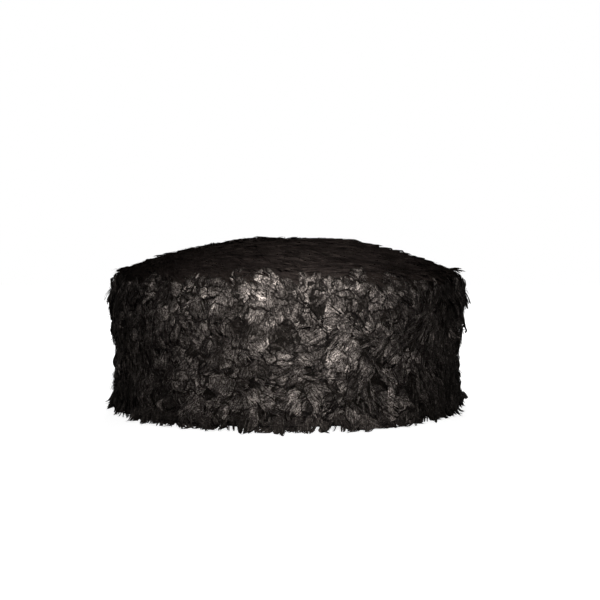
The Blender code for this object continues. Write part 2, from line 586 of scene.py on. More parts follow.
def flake_group() -> Tree:
    """The shader group of the flakes into which the barbs mat.

    Each flake has its own tone and one side darkened with painted shade. Thin lines of painted shadow, where
    one flake would lie over the next, fade in and out between them.

    Returns:
        The group, with the inputs Flake in metres and Cracked, how much of it shows, and the
        outputs Mask, which is 1 on a light flake, and Swell, the flake's rounded height.
    """
    if "Flakes" in bpy.data.node_groups:
        return bpy.data.node_groups["Flakes"]
    tree = value_group("Flakes", ("Flake", "Cracked"), ("Mask", "Swell"))
    given = add_node(tree, "NodeGroupInput").outputs
    result = add_node(tree, "NodeGroupOutput").inputs
    place = add_node(tree, "ShaderNodeTexCoord").outputs["Object"]
    scale = one_over(tree, given["Flake"])

    # The cells' edges wander by up to about a flake's size
    bends = noise_at(tree, place, times(tree, scale, 0.9), detail=3.0).outputs["Color"]
    offset = scaled(tree, centred(tree, bends), times(tree, given["Flake"], 2.1))
    bent = vector_maths(tree, "ADD", place, offset).outputs["Vector"]
    cell = {"Vector": bent, "Scale": scale}
    edges = wired(tree, "ShaderNodeTexVoronoi", cell, feature="DISTANCE_TO_EDGE").outputs
    cells = wired(tree, "ShaderNodeTexVoronoi", cell, feature="F1").outputs
    away = times(tree, edges["Distance"], given["Flake"])

    # One side of each flake is darkened with painted shade, as if it lay under its neighbour: the side that
    # faces away from the cell's random heading
    apart = vector_maths(tree, "SUBTRACT", bent, cells["Position"]).outputs["Vector"]
    lean = vector_maths(tree, "DOT_PRODUCT", apart, centred(tree, cells["Color"])).outputs["Value"]
    under = ranged(tree, times(tree, lean, scale), (-0.16, -0.03), (0.32, 1.0))

    # Thin lines of painted shadow between the flakes, fading in and out
    fading = noise_at(tree, place, times(tree, scale, 1.7)).outputs["Fac"]
    depth = ranged(tree, fading, (0.42, 0.50), (0.45, 1.0))
    crack_shadows = faded(tree, depth, ranged(tree, away, (0.00036, 0.00056), (0.0, 1.0)))
    colour = wired(tree, "ShaderNodeSeparateColor", {"Color": cells["Color"]})
    tone = ranged(tree, colour.outputs[0], (0.0, 1.0), (0.62, 1.0))
    feed(tree, faded(tree, given["Cracked"], product(tree, crack_shadows, tone, under)), result["Mask"])
    feed(tree, ranged(tree, away, (0.0, 0.0013), (0.0, 1.0)), result["Swell"])
    return tree


def weave_group() -> Tree:
    """The shader group of a fine twill on Object coordinates.

    Returns:
        The group, with the input Thread in metres and the output Thread Height.
    """
    if "Twill" in bpy.data.node_groups:
        return bpy.data.node_groups["Twill"]
    tree = value_group("Twill", ("Thread",), ("Thread Height",))
    given = add_node(tree, "NodeGroupInput").outputs
    result = add_node(tree, "NodeGroupOutput").inputs
    place = add_node(tree, "ShaderNodeTexCoord").outputs["Object"]
    thread = {"Vector": place, "Scale": one_over(tree, given["Thread"]), "Distortion": 0.6, "Detail": 1.0}
    heights = [
        wired(tree, "ShaderNodeTexWave", thread, bands_direction=direction).outputs["Fac"]
        for direction in ("X", "Z")
    ]
    feed(tree, computed(tree, "MAXIMUM", *heights), result["Thread Height"])
    return tree


def named_attribute(tree: Tree, name: str, data_type: str) -> Socket:
    """Reads an attribute of the guide."""
    inputs = {"Name": name}
    return wired(tree, "GeometryNodeInputNamedAttribute", inputs, data_type=data_type).outputs["Attribute"]


class Draw(enum.Enum):
    """A kind of random value: its type, and the places of its least value and its result."""

    VECTOR = ("FLOAT_VECTOR", 0, 0)
    NUMBER = ("FLOAT", 2, 1)
    COUNT = ("INT", 4, 2)


def drawn(
    tree: Tree, kind: Draw, low: Socket | float, high: Socket | float, seed: Socket, step: int
) -> Socket:
    """Draws a random value for each feather.

    Args:
        tree: the tree.
        kind: the kind of value.
        low: its least value, as a socket or a number.
        high: its greatest value.
        seed: the socket of the layer's seed.
        step: how far this draw's own seed is past the layer's.

    Returns:
        The socket of the value.
    """
    data_type, place, result = kind.value
    node = add_node(tree, "FunctionNodeRandomValue", data_type=data_type)
    feed(tree, low, node.inputs[place])
    feed(tree, high, node.inputs[place + 1])
    feed(tree, computed(tree, "ADD", seed, float(step)), node.inputs["Seed"])
    return node.outputs[result]


# Inputs of the strewing tree and their kinds
STREWING_INPUTS = {
    "Guide": "Geometry",
    "Vanes": "Collection",
    "Spacing": "Float",
    "Density": "Float",
    "Size Min": "Float",
    "Size Max": "Float",
    "Width Min": "Float",
    "Width Max": "Float",
    "Sink": "Float",
    "Turn Min": "Vector",
    "Turn Max": "Vector",
    "Seed": "Int",
    "Finish": "Material",
}


def strewing_tree() -> Tree:
    """The Geometry Nodes tree that strews feathers over a guide surface.

    Returns:
        The tree. It reads the guide's lay and cover, and ends in realized instances.
    """
    if "Feather strewing" in bpy.data.node_groups:
        return bpy.data.node_groups["Feather strewing"]
    tree = bpy.data.node_groups.new("Feather strewing", "GeometryNodeTree")
    for name, kind in STREWING_INPUTS.items():
        tree.interface.new_socket(name, in_out="INPUT", socket_type=f"NodeSocket{kind}")
    tree.interface.new_socket("Feathers", in_out="OUTPUT", socket_type="NodeSocketGeometry")
    given = add_node(tree, "NodeGroupInput").outputs
    result = add_node(tree, "NodeGroupOutput").inputs
    seed = given["Seed"]

    # Points on the guide, sunk a little into the pile
    scatter = {
        "Mesh": given["Guide"],
        "Distance Min": given["Spacing"],
        "Density Max": given["Density"],
        "Density Factor": named_attribute(tree, COVER, "FLOAT"),
        "Seed": seed,
    }
    points = wired(
        tree, "GeometryNodeDistributePointsOnFaces", scatter, distribute_method="POISSON"
    ).outputs
    inward = scaled(tree, points["Normal"], times(tree, given["Sink"], -1.0))
    sunk = wired(tree, "GeometryNodeSetPosition", {"Geometry": points["Points"], "Offset": inward})

    # Each feather lies along the guide's lay, turned at random
    axes = {"Primary Axis": points["Normal"], "Secondary Axis": named_attribute(tree, LAY, "FLOAT_VECTOR")}
    along = wired(tree, "FunctionNodeAxesToRotation", axes, primary_axis="Z", secondary_axis="Y")
    turn = drawn(tree, Draw.VECTOR, given["Turn Min"], given["Turn Max"], seed, 0)
    turned = add_node(tree, "FunctionNodeEulerToRotation")
    feed(tree, turn, turned.inputs[0])
    rotation = add_node(tree, "FunctionNodeRotateRotation", rotation_space="LOCAL")
    feed(tree, along.outputs[0], rotation.inputs[0])
    feed(tree, turned.outputs[0], rotation.inputs[1])

    size = drawn(tree, Draw.NUMBER, given["Size Min"], given["Size Max"], seed, 1)
    width = drawn(tree, Draw.NUMBER, given["Width Min"], given["Width Max"], seed, 2)
    forms = {"Collection": given["Vanes"], "Separate Children": True, "Reset Children": True}
    feathers = {
        "Points": sunk.outputs[0],
        "Instance": wired(tree, "GeometryNodeCollectionInfo", forms).outputs[0],
        "Pick Instance": True,
        "Instance Index": drawn(tree, Draw.COUNT, 0, LAST_PICK, seed, 3),
        "Rotation": rotation.outputs[0],
        "Scale": vector_of(tree, times(tree, size, width), size, size),
    }
    placed = wired(tree, "GeometryNodeInstanceOnPoints", feathers)

    tone = {"Geometry": placed.outputs[0], "Name": TONE, "Value": drawn(tree, Draw.NUMBER, 0.0, 1.0, seed, 4)}
    toned = wired(tree, "GeometryNodeStoreNamedAttribute", tone, data_type="FLOAT", domain="INSTANCE")
    real = wired(tree, "GeometryNodeRealizeInstances", {"Geometry": toned.outputs[0]})
    last = {"Geometry": real.outputs[0], "Material": given["Finish"]}
    feed(tree, wired(tree, "GeometryNodeSetMaterial", last).outputs[0], result[0])
    return tree


@dataclass
class HatForm:
    """The hat's form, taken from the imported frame. Reaches are measured from the opening's wall."""

    half_width: float
    half_length: float
    hem_top: float
    band_top: float
    apex: float
    dome_drop: float = 0.0195

    @classmethod
    def from_frame(cls) -> "HatForm":
        """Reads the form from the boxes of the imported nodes.

        Returns:
            The form of the hat.
        """
        band_low, band_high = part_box("side_band")
        return cls(
            half_width=(band_high.x - band_low.x) / 2 - FULL_REACH,
            half_length=(band_high.y - band_low.y) / 2 - FULL_REACH,
            hem_top=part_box("hem_fringe")[1].z,
            band_top=band_high.z,
            apex=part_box("crown")[1].z,
        )

    def at(self, angle: float, reach: float, height: float, across: float = 1.0) -> Vector:
        """A point at an angle round the hat.

        Args:
            angle: the angle, in radians.
            reach: how far the oval lies outside the opening's wall.
            height: the height over the floor.
            across: the share of the way from the middle to the oval.

        Returns:
            The point.
        """
        x = (self.half_width + reach) * across * math.cos(angle)
        y = (self.half_length + reach) * across * math.sin(angle)
        return Vector((x, y, height))

    def dome(self, share: float) -> float:
        """Height of the tips of the crown's feathers, at a share of the way from centre to rim."""
        return self.apex - self.dome_drop * share**2

    def ring(self, columns: int, reach: float, height: float, across: float = 1.0) -> list[Vector]:
        """An oval row of points at one height, each as the method at gives it."""
        return [self.at(TAU * c / columns, reach, height, across) for c in range(columns)]


def smooth_step(value: float, low: float, high: float) -> float:
    """0 below low, 1 above high, and smooth between them."""
    t = min(1.0, max(0.0, (value - low) / (high - low)))
    return t * t * (3 - 2 * t)


def ripple(point: Vector, size: float, seed: float) -> float:
    """Smooth noise from about -1 to 1, with lumps of about the given size."""
    return noise.noise(point / size + Vector((seed, -seed, seed * 0.5)))


def loose_object(name: str, bm: bmesh.types.BMesh) -> bpy.types.Object:
    """Turns a bmesh into an object outside the scene.

    Args:
        name: the object's name.
        bm: the bmesh, which is freed.

    Returns:
        The object, with its place in its mesh.
    """
    mesh = bpy.data.meshes.new(name)
    bm.to_mesh(mesh)
    bm.free()
    return bpy.data.objects.new(name, mesh)


def mesh_object(name: str, bm: bmesh.types.BMesh) -> bpy.types.Object:
    """Turns a bmesh into an object in the scene.

    Args:
        name: the object's name.
        bm: the bmesh, which is freed.

    Returns:
        The object.
    """
    obj = loose_object(name, bm)
    bpy.context.scene.collection.objects.link(obj)
    return obj


def lofted(
    name: str, loops: list[list[Vector]], material: bpy.types.Material, closed: bool
) -> bpy.types.Object:
    """Makes a closed body through loops of points.

    Args:
        name: the object's name.
        loops: closed loops with the same count of points.
        material: its material.
        closed: True for a ring whose last loop meets its first, False to cap both ends.

    Returns:
        The object, with its faces pointing out.
    """
    bm = bmesh.new()
    rings = [[bm.verts.new(p) for p in loop] for loop in loops]
    count = len(loops[0])
    onward = rings[1:] + rings[:1] if closed else rings[1:]
    for ring, after in zip(rings, onward):
        for c in range(count):
            d = (c + 1) % count
            bm.faces.new((ring[c], ring[d], after[d], after[c])).smooth = True
    if not closed:
        bm.faces.new(rings[0])
        bm.faces.new(rings[-1])
    bmesh.ops.recalc_face_normals(bm, faces=bm.faces)
    piece = mesh_object(name, bm)
    piece.data.materials.append(material)
    return piece


def guide_surface(name: str, rows: list[list[Vector]], lay: LayField) -> bpy.types.Object:
    """Makes a guide surface from closed rows of points, with the direction of its feathers.

    Args:
        name: the guide's name.
        rows: closed loops of points with the same count, each further along the lay, so
            that the face normals point away from the hat.
        lay: which way the feathers lie.

    Returns:
        The guide object, with its lay attribute.
    """
    bm = bmesh.new()
    grid = [[bm.verts.new(p) for p in row] for row in rows]
    count = len(rows[0])
    for upper, lower in zip(grid, grid[1:]):
        for c in range(count):
            after = (c + 1) % count
            bm.faces.new((upper[c], lower[c], lower[after], upper[after]))
    directions = []
    last = len(rows) - 1
    for r, row in enumerate(rows):
        for c, point in enumerate(row):
            onward = (rows[min(r + 1, last)][c] - rows[max(r - 1, 0)][c]).normalized()
            around = (row[(c + 1) % count] - row[c - 1]).normalized()
            angle = lay.turn_at(point, r / last)
            directions.append(onward * math.cos(angle) + around * math.sin(angle))
    obj = mesh_object(name, bm)
    attribute = obj.data.attributes.new(LAY, "FLOAT_VECTOR", "POINT")
    attribute.data.foreach_set("vector", [value for d in directions for value in d])
    obj.data.attributes.new(COVER, "FLOAT", "POINT")
    set_cover(obj, full_cover)
    return obj


def full_cover(point: Vector) -> float:
    """The same full cover at every point."""
    return 1.0


def set_cover(guide: bpy.types.Object, cover: Callable[[Vector], float]) -> None:
    """Sets how densely each place of a guide is strewn.

    Args:
        guide: the guide surface.
        cover: gives the share of the full density at a point.
    """
    shares = [cover(vert.co) for vert in guide.data.vertices]
    guide.data.attributes[COVER].data.foreach_set("value", shares)


@dataclass
class FeatherMaker:
    """Makes vanes and tufts of a few forms, for the Geometry Nodes tree to pick from.

    The tilts are how far, in degrees, the slopes at root and tip differ between two of a form.
    """

    rng: random.Random
    vane_tilts: Span = (10, 15)
    tuft_tilts: Span = (9, 18)
    uneven_width: Span = (0.78, 1.18)
    twist: float = 0.12
    split_gap: float = 0.014

    def collection(
        self, name: str, shapes: tuple[VaneShape | TuftShape, ...], copies: int
    ) -> bpy.types.Collection:
        """Makes a collection of vanes or tufts.

        Args:
            name: the collection's name.
            shapes: the forms.
            copies: how many of each form, each with its own irregularities.

        Returns:
            The collection, which isn't in the scene.
        """
        collection = bpy.data.collections.new(name)
        for shape in shapes:
            make = self.vane if isinstance(shape, VaneShape) else self.tuft
            for copy in range(copies):
                collection.objects.link(make(shape, f"{name}_{shape.name}_{copy}"))
        return collection

    def midrib(
        self, shape: VaneShape | TuftShape, rows: int, tilts: Span
    ) -> list[tuple[float, float, float]]:
        """Points along a bent midrib of unit length.

        Args:
            shape: the form, which gives the slopes at the root and the tip.
            rows: how many straight runs it has.
            tilts: how far the two slopes may differ from the form's, in degrees.

        Returns:
            The distance along, the height and the slope in radians at each point.
        """
        start = shape.start_slope + self.rng.uniform(-tilts[0], tilts[0])
        end = shape.end_slope + self.rng.uniform(-tilts[1], tilts[1])
        along, height = 0.0, 0.0
        points = [(along, height, math.radians(start))]
        for row in range(rows):
            slope = math.radians(start + (end - start) * ((row + 0.5) / rows) ** 1.2)
            along += math.cos(slope) / rows
            height += math.sin(slope) / rows
            points.append((along, height, slope))
        return points

    def vane(self, shape: VaneShape, name: str) -> bpy.types.Object:
        """Makes one vane of unit length.

        Args:
            shape: its form.
            name: its object's name.

        Returns:
            The vane's object.
        """
        bm = bmesh.new()
        uv = bm.loops.layers.uv.new(BARB_UV)
        rng = self.rng
        rib = self.midrib(shape, shape.rows, self.vane_tilts)
        tips = [rng.uniform(-shape.ragged, shape.ragged) for _ in range(shape.columns + 1)]
        sides = [rng.uniform(*self.uneven_width) for _ in range(shape.rows + 1)]
        phase = rng.uniform(0.0, TAU)
        twist = rng.uniform(-self.twist, self.twist)
        cuts = rng.sample(range(1, shape.columns), min(shape.splits, shape.columns - 1))
        cut_row = {c: rng.randint(1, max(1, shape.rows - 2)) for c in cuts}
        corners: dict[tuple[int, int, int], tuple[bmesh.types.BMVert, float, float]] = {}

        def corner(row: int, column: int, side: int) -> tuple[bmesh.types.BMVert, float, float]:
            """The vertex at a row and column. A cut column has one for each side.

            Args:
                row: the row, from 0 at the root.
                column: the column, from 0 at the left.
                side: 1 for the side right of a cut, and -1 for the side left of it.

            Returns:
                The vertex and its two barb coordinates.
            """
            is_cut = column in cut_row and row > cut_row[column]
            key = (row, column, side if is_cut else 0)
            if key in corners:
                return corners[key]
            v = row / shape.rows
            u = 2.0 * column / shape.columns - 1.0
            blunt = math.sin(math.pi * (0.13 + 0.77 * v)) ** 0.6
            x = u * shape.width / 2 * blunt * (1.0 - shape.point * v**1.5) * sides[row]
            along, height, slope = rib[row]
            reach = tips[column] * v**2 - 0.16 * (u * v) ** 2 * (1 - shape.point)
            wave = shape.ruffle * v**1.3 * math.sin(shape.waves * math.pi * u + phase)
            cupped = shape.cup * u * u * math.sin(math.pi * (0.15 + 0.75 * v))
            rise = wave - cupped + twist * u * v * shape.width
            if is_cut:
                gap = self.split_gap * (row - cut_row[column])
                x += side * gap
                rise -= gap * 0.8
            y = along + reach * math.cos(slope) - rise * math.sin(slope)
            z = height + reach * math.sin(slope) + rise * math.cos(slope)
            corners[key] = (bm.verts.new((x, y, z)), (u + 1) / 2, v)
            return corners[key]

        for row in range(shape.rows):
            for column in range(shape.columns):
                around = (
                    corner(row, column, 1),
                    corner(row, column + 1, -1),
                    corner(row + 1, column + 1, -1),
                    corner(row + 1, column, 1),
                )
                made = bm.faces.new([c[0] for c in around])
                made.smooth = True
                for loop, (_, u, v) in zip(made.loops, around):
                    loop[uv].uv = (u, v)
        return loose_object(name, bm)

    def tuft(self, shape: TuftShape, name: str) -> bpy.types.Object:
        """Makes one tuft of loose barbs of unit length.

        Args:
            shape: its form.
            name: its object's name.

        Returns:
            The tuft's object.
        """
        bm = bmesh.new()
        uv = bm.loops.layers.uv.new(BARB_UV)
        rng = self.rng
        for barb in range(shape.barbs):
            middle = (barb + 0.5) / shape.barbs * 2 - 1
            heading = math.radians(shape.fan) * (middle + rng.uniform(-0.4, 0.4))
            size = 1.0 - rng.uniform(0.0, shape.spread)
            rib = self.midrib(shape, shape.joints, self.tuft_tilts)
            bow = rng.uniform(-0.10, 0.10)
            root = middle * shape.width * 1.2
            lift = rng.uniform(0.0, 0.02)
            before = None
            for joint, (along, height, _) in enumerate(rib):
                v = joint / shape.joints
                half = shape.width / 2 * (1.0 - 0.85 * v**2) * (0.6 + 0.4 * min(1.0, v * 3))
                centre = root + math.sin(heading) * along * size + bow * v * v
                y = math.cos(heading) * along * size
                z = height * size + lift
                edge = (bm.verts.new((centre - half, y, z)), bm.verts.new((centre + half, y, z)))
                if before is not None:
                    made = bm.faces.new((before[0], before[1], edge[1], edge[0]))
                    made.smooth = True
                    ends = (0.0, 0.0, 1.0, 1.0)
                    for loop, side, end in zip(made.loops, (0.0, 1.0, 1.0, 0.0), ends):
                        place = (joint - 1 + end) / shape.joints
                        loop[uv].uv = (0.2 + (barb + side * 0.2) * 0.09, place)
                before = edge
        return loose_object(name, bm)


def strew(
    guide: bpy.types.Object,
    feathers: bpy.types.Collection,
    layer: Layer,
    finishes: dict[str, bpy.types.Material],
) -> None:
    """Strews feathers over a guide, turns the result into a plain mesh and settles the piece.

    Args:
        guide: the guide surface, which stays.
        feathers: the vanes or tufts to pick from.
        layer: how they are strewn, and which piece they make.
        finishes: the materials by name.
    """
    tree = strewing_tree()
    modifier = guide.modifiers.new("strewing", "NODES")
    modifier.node_group = tree
    values = {
        "Vanes": feathers,
        "Spacing": layer.spacing,
        "Density": layer.density,
        "Size Min": layer.length * (1 - layer.size_spread),
        "Size Max": layer.length * (1 + layer.size_spread),
        "Width Min": 1 - layer.width_spread,
        "Width Max": 1 + layer.width_spread,
        "Sink": layer.sink,
        "Turn Min": (layer.lift - layer.lift_spread, -layer.roll, -layer.turn),
        "Turn Max": (layer.lift + layer.lift_spread, layer.roll, layer.turn),
        "Seed": layer.seed,
        "Finish": finishes[layer.finish],
    }
    for item in tree.interface.items_tree:
        if item.item_type == "SOCKET" and item.in_out == "INPUT" and item.name in values:
            modifier[item.identifier] = values[item.name]
    graph = bpy.context.evaluated_depsgraph_get()
    mesh = bpy.data.meshes.new_from_object(guide.evaluated_get(graph), depsgraph=graph)
    guide.modifiers.remove(modifier)
    mesh.name = layer.piece
    lay_on_floor(mesh)
    piece = bpy.data.objects.new(layer.piece, mesh)
    bpy.context.scene.collection.objects.link(piece)
    settle(piece, layer.slot)


def lay_on_floor(
    mesh: bpy.types.Mesh, clearance: float = 0.0004, thickness: float = 0.0016, splay: float = 0.45
) -> None:
    """Bends what would reach under the floor outwards, so that it lies on it.

    Args:
        mesh: the mesh, which is changed.
        clearance: the least height over the floor.
        thickness: the height of the layer in which bent feathers lie.
        splay: how far a point moves outwards for each metre that it would be too deep.
    """
    for vert in mesh.vertices:
        deep = clearance + thickness - vert.co.z
        if deep > 0:
            outward = Vector((vert.co.x, vert.co.y, 0.0)).normalized()
            height = clearance + thickness * math.exp(-deep / thickness)
            vert.co += outward * deep * splay
            vert.co.z = height


def settle(piece: bpy.types.Object, slot: str, *nodes: str) -> None:
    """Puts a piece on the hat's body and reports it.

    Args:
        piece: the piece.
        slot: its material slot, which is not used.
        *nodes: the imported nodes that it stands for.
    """
    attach(piece, BODY)
    if nodes:
        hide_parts(*nodes)
    LOG.info("%s: %d faces", piece.name, len(piece.data.polygons))


def drop_guide(guide: bpy.types.Object) -> None:
    """Removes a guide surface."""
    bpy.data.objects.remove(guide, do_unlink=True)


# Forms of the vanes: name, width, slope at the root, slope at the tip, and what else sets them apart
CURLED_VANES = (
    VaneShape("shell", 1.15, 20, -34, cup=0.09, ruffle=0.03, waves=5.0, ragged=0.12, splits=2, rows=5),
    VaneShape(
        "scallop", 1.35, 18, -30, cup=0.07, ruffle=0.035, waves=6.0, ragged=0.15, splits=3, rows=5, columns=10
    ),
    VaneShape(
        "frill", 1.20, 22, -26, cup=0.04, ruffle=0.06, waves=5.0, ragged=0.17, splits=3, rows=5, columns=10
    ),
    VaneShape("fold", 0.95, 26, -44, cup=0.10, ruffle=0.07, waves=1.6, ragged=0.13, splits=2, rows=5),
    VaneShape("petal", 0.80, 20, -34, cup=0.10, ragged=0.13, point=0.15, splits=2, rows=5),
    VaneShape("curl", 0.90, 40, -95, cup=0.14, ruffle=0.04, waves=2.4, ragged=0.10, splits=2),
    VaneShape("flip", 0.90, 6, 20, cup=0.05, ruffle=0.05, waves=3.4, ragged=0.18, splits=3, rows=5),
)
STRAND_VANES = (
    VaneShape("strand", 0.16, 12, -14, cup=0.02, ragged=0.10, point=0.6, rows=5, columns=2),
    VaneShape("lock", 0.26, 14, -18, cup=0.04, ragged=0.14, point=0.5, rows=4, columns=4),
    VaneShape("wavy_strand", 0.18, 16, -24, cup=0.02, ruffle=0.03, point=0.5, rows=5, columns=2),
)
UNDER_VANES = (
    VaneShape("plain", 0.90, 26, -40, cup=0.15, splits=2, rows=4, columns=6),
    VaneShape("wavy", 1.00, 24, -45, cup=0.10, ruffle=0.07, splits=1, rows=4, columns=6),
    VaneShape("slim", 0.60, 22, -35, cup=0.12, point=0.3, splits=2, rows=4, columns=6),
)
CROWN_VANES = (
    VaneShape("flat", 0.30, 14, -18, cup=0.05, ragged=0.10, point=0.4, rows=4, columns=5),
    VaneShape("slender", 0.20, 12, -16, cup=0.03, ragged=0.10, point=0.5, rows=4, columns=4),
)
POINTED_VANES = (
    VaneShape("dart", 0.32, 16, -30, cup=0.05, ragged=0.12, point=0.85, rows=4, columns=3),
    VaneShape("blade", 0.24, 20, -44, cup=0.03, ragged=0.14, point=0.9, rows=4, columns=2),
    VaneShape("brush", 0.42, 12, -25, cup=0.08, ragged=0.22, point=0.6, rows=4, columns=4),
)

# Forms of the tufts
BAND_TUFTS = (
    TuftShape("fan", 5, width=0.062, fan=22, start_slope=30, end_slope=-40),
    TuftShape("wisp", 4, width=0.055, fan=9, start_slope=22, end_slope=-30),
    TuftShape("hook", 4, width=0.058, fan=14, start_slope=36, end_slope=-90),
)
CROWN_TUFTS = (
    TuftShape("sleek", 6, width=0.034, fan=7, start_slope=6, end_slope=-14),
    TuftShape("spread", 6, width=0.030, fan=15, start_slope=8, end_slope=-18),
)

# The finishes, by the names that the layers give
FINISHES = {
    "band": FeatherFinish(
        name="band feather",
        dark=(0.0010, 0.0008, 0.0007),
        light=(0.385, 0.3350, 0.3040),
        matt=1.0,
        gloss=0.50,
        specular=0.07,
    ),
    # Much darker than the band's plates: painted shade on the vanes that lie beneath them
    "under": FeatherFinish(
        name="under feather",
        dark=(0.0006, 0.0005, 0.0004),
        light=(0.062, 0.0535, 0.0480),
        matt=1.0,
        gloss=0.70,
        specular=0.05,
    ),
    "strand": FeatherFinish(
        name="strand feather",
        dark=(0.0010, 0.0008, 0.0007),
        light=(0.205, 0.1780, 0.1620),
        matt=1.0,
        gloss=0.55,
        specular=0.08,
        across=4.0,
        cracked=0.3,
        lobes_shown=0.2,
    ),
    "crown": FeatherFinish(
        name="crown feather",
        dark=(0.0068, 0.0054, 0.0048),
        light=(0.0270, 0.0214, 0.0188),
        matt=1.0,
        gloss=0.80,
        specular=0.0,
        across=8.0,
        cracked=0.0,
        lobes_shown=0.0,
        relief=0.4,
        patch=0.030,
    ),
    "hem": FeatherFinish(
        name="hem feather",
        dark=(0.0012, 0.0010, 0.0009),
        light=(0.088, 0.0757, 0.0678),
        matt=0.80,
        gloss=0.55,
        specular=0.10,
        across=4.0,
        cracked=0.0,
        lobes_shown=0.0,
    ),
    "barb": FeatherFinish(
        name="loose barb",
        dark=(0.0035, 0.0030, 0.0027),
        light=(0.175, 0.1520, 0.1380),
        matt=1.0,
        gloss=0.48,
        specular=0.10,
        relief=0.1,
    ),
    "cloth": ClothFinish(name="backing cloth", colour=(0.0036, 0.0031, 0.0029), thread=0.0011),
}


@dataclass
class SideBand:
    """The oval side wall: backing cloth, curled vanes and loose barbs.

    The profile holds the guide's reach at shares of its height. The broad plates thin out on
    the flanks and in the waist, a dark hollow across the right half of the front.
    """

    form: HatForm
    columns: int = 220
    rows: int = 34
    profile: tuple[Span, ...] = (
        (0.00, 0.0120),
        (0.10, 0.0118),
        (0.22, 0.0108),
        (0.36, 0.0108),
        (0.60, 0.0128),
        (0.80, 0.0136),
        (0.92, 0.0132),
        (1.00, 0.0114),
    )
    lowest: float = 0.0095
    over_seam: float = 0.0010
    cloth_inset: float = 0.0038
    cloth_rows: int = 12
    lump: float = 0.0016
    lump_size: float = 0.026
    lump_seed: float = 11.0
    cluster_size: float = 0.017
    cluster_seed: float = 21.0
    plate_edge: Span = (-0.30, 0.02)
    barb_edge: Span = (-0.36, -0.10)
    front_middle: float = 0.006
    flank: Span = (0.032, 0.074)
    waist_height: float = 0.0290
    waist_wander: float = 0.004
    waist_size: float = 0.030
    waist_seed: float = 27.0
    waist_fade: Span = (0.002, 0.0065)
    waist_start: Span = (-0.004, 0.016)
    under_layer: Layer = Layer(
        "band_under_vanes", BAND_SLOT, "under", spacing=0.0036, density=110000.0, length=0.0120,
        size_spread=0.22, width_spread=0.25, lift=0.02, lift_spread=0.12, roll=0.20, turn=0.60,
        sink=0.0026, seed=11,
    )
    strand_layer: Layer = Layer(
        "band_strands", BAND_SLOT, "strand", spacing=0.0023, density=200000.0, length=0.0098,
        size_spread=0.30, width_spread=0.30, lift=-0.12, lift_spread=0.045, roll=0.25, turn=0.35,
        sink=0.0004, seed=17,
    )
    curled_layer: Layer = Layer(
        "band_curled_vanes", BAND_SLOT, "band", spacing=0.0040, density=120000.0, length=0.0108,
        size_spread=0.42, width_spread=0.30, lift=0.07, lift_spread=0.15, roll=0.28, turn=1.00,
        sink=0.0002, seed=23,
    )
    barb_layer: Layer = Layer(
        "band_loose_barbs", BAND_SLOT, "barb", spacing=0.0024, density=240000.0, length=0.0072,
        size_spread=0.35, width_spread=0.3, lift=0.04, lift_spread=0.14, roll=0.4, turn=0.8,
        sink=0.0, seed=31,
    )

    @property
    def highest(self) -> float:
        """Height of the guide's top row."""
        return self.form.band_top + self.over_seam

    def guide_reach(self, height: float) -> float:
        """Reach of the guide at a height, from the profile's rows.

        Args:
            height: the height over the floor.

        Returns:
            The reach, measured from the opening's wall.
        """
        share = (height - self.lowest) / (self.highest - self.lowest)
        for (s0, r0), (s1, r1) in zip(self.profile, self.profile[1:]):
            if share <= s1:
                return r0 + (r1 - r0) * smooth_step(share, s0, s1)
        return self.profile[-1][1]

    def guide_row(self, height: float, outset: float = 0.0) -> list[Vector]:
        """One row of the guide's points, with the pile's lumps.

        Args:
            height: the row's height.
            outset: how far the row is pushed out.

        Returns:
            The points, round the hat.
        """
        reach = self.guide_reach(height) + outset
        row = []
        for c in range(self.columns):
            angle = TAU * c / self.columns
            flat = self.form.at(angle, reach, height)
            swell = self.lump * ripple(flat, self.lump_size, self.lump_seed)
            row.append(self.form.at(angle, reach + swell, height))
        return row

    def beside(self, point: Vector) -> float:
        """0 over the middle of the front and the back, and 1 at the sides."""
        return smooth_step(abs(point.x - self.front_middle), *self.flank)

    def waist(self, point: Vector) -> float:
        """How far a point is in the waist.

        Args:
            point: the point.

        Returns:
            1 in the dark hollow, and 0 outside it.
        """
        wander = self.waist_wander * ripple(point, self.waist_size, self.waist_seed)
        level = 1.0 - smooth_step(abs(point.z - (self.waist_height + wander)), *self.waist_fade)
        return level * smooth_step(point.x, *self.waist_start)

    def clustered(self, point: Vector, edge: Span) -> float:
        """1 in a cluster of broad plates and 0 between clusters, over an edge of the noise."""
        return smooth_step(ripple(point, self.cluster_size, self.cluster_seed), *edge)

    def plate_cover(self, point: Vector) -> float:
        """Share of the full count of broad plates at a point, least at the sides."""
        clustered = 0.35 + 0.65 * self.clustered(point, self.plate_edge)
        return clustered * (1.0 - 0.88 * self.beside(point)) * (1.0 - 0.75 * self.waist(point))

    def strand_cover(self, point: Vector) -> float:
        """Share of the full count of combed strands at a point, most at the sides."""
        between = 1.0 - self.clustered(point, self.plate_edge)
        return max(0.55, between, self.beside(point), self.waist(point))

    def barb_cover(self, point: Vector) -> float:
        """Share of the full count of loose barbs at a point, few where there are broad plates."""
        between = 1.0 - self.clustered(point, self.barb_edge)
        return max(0.08, 0.5 * between, self.beside(point))

    def guide(self) -> bpy.types.Object:
        """Makes the guide surface, from the top row down.

        Returns:
            The guide.
        """
        step = (self.highest - self.lowest) / self.rows
        rows = [self.guide_row(self.highest - step * r) for r in range(self.rows + 1)]
        lay = LayField(Lay.WHORLED, 0.0, 0.0, whorl=1.9, whorl_size=0.030, seed=2.0, combed=0.8)
        return guide_surface("band_guide", rows, lay)

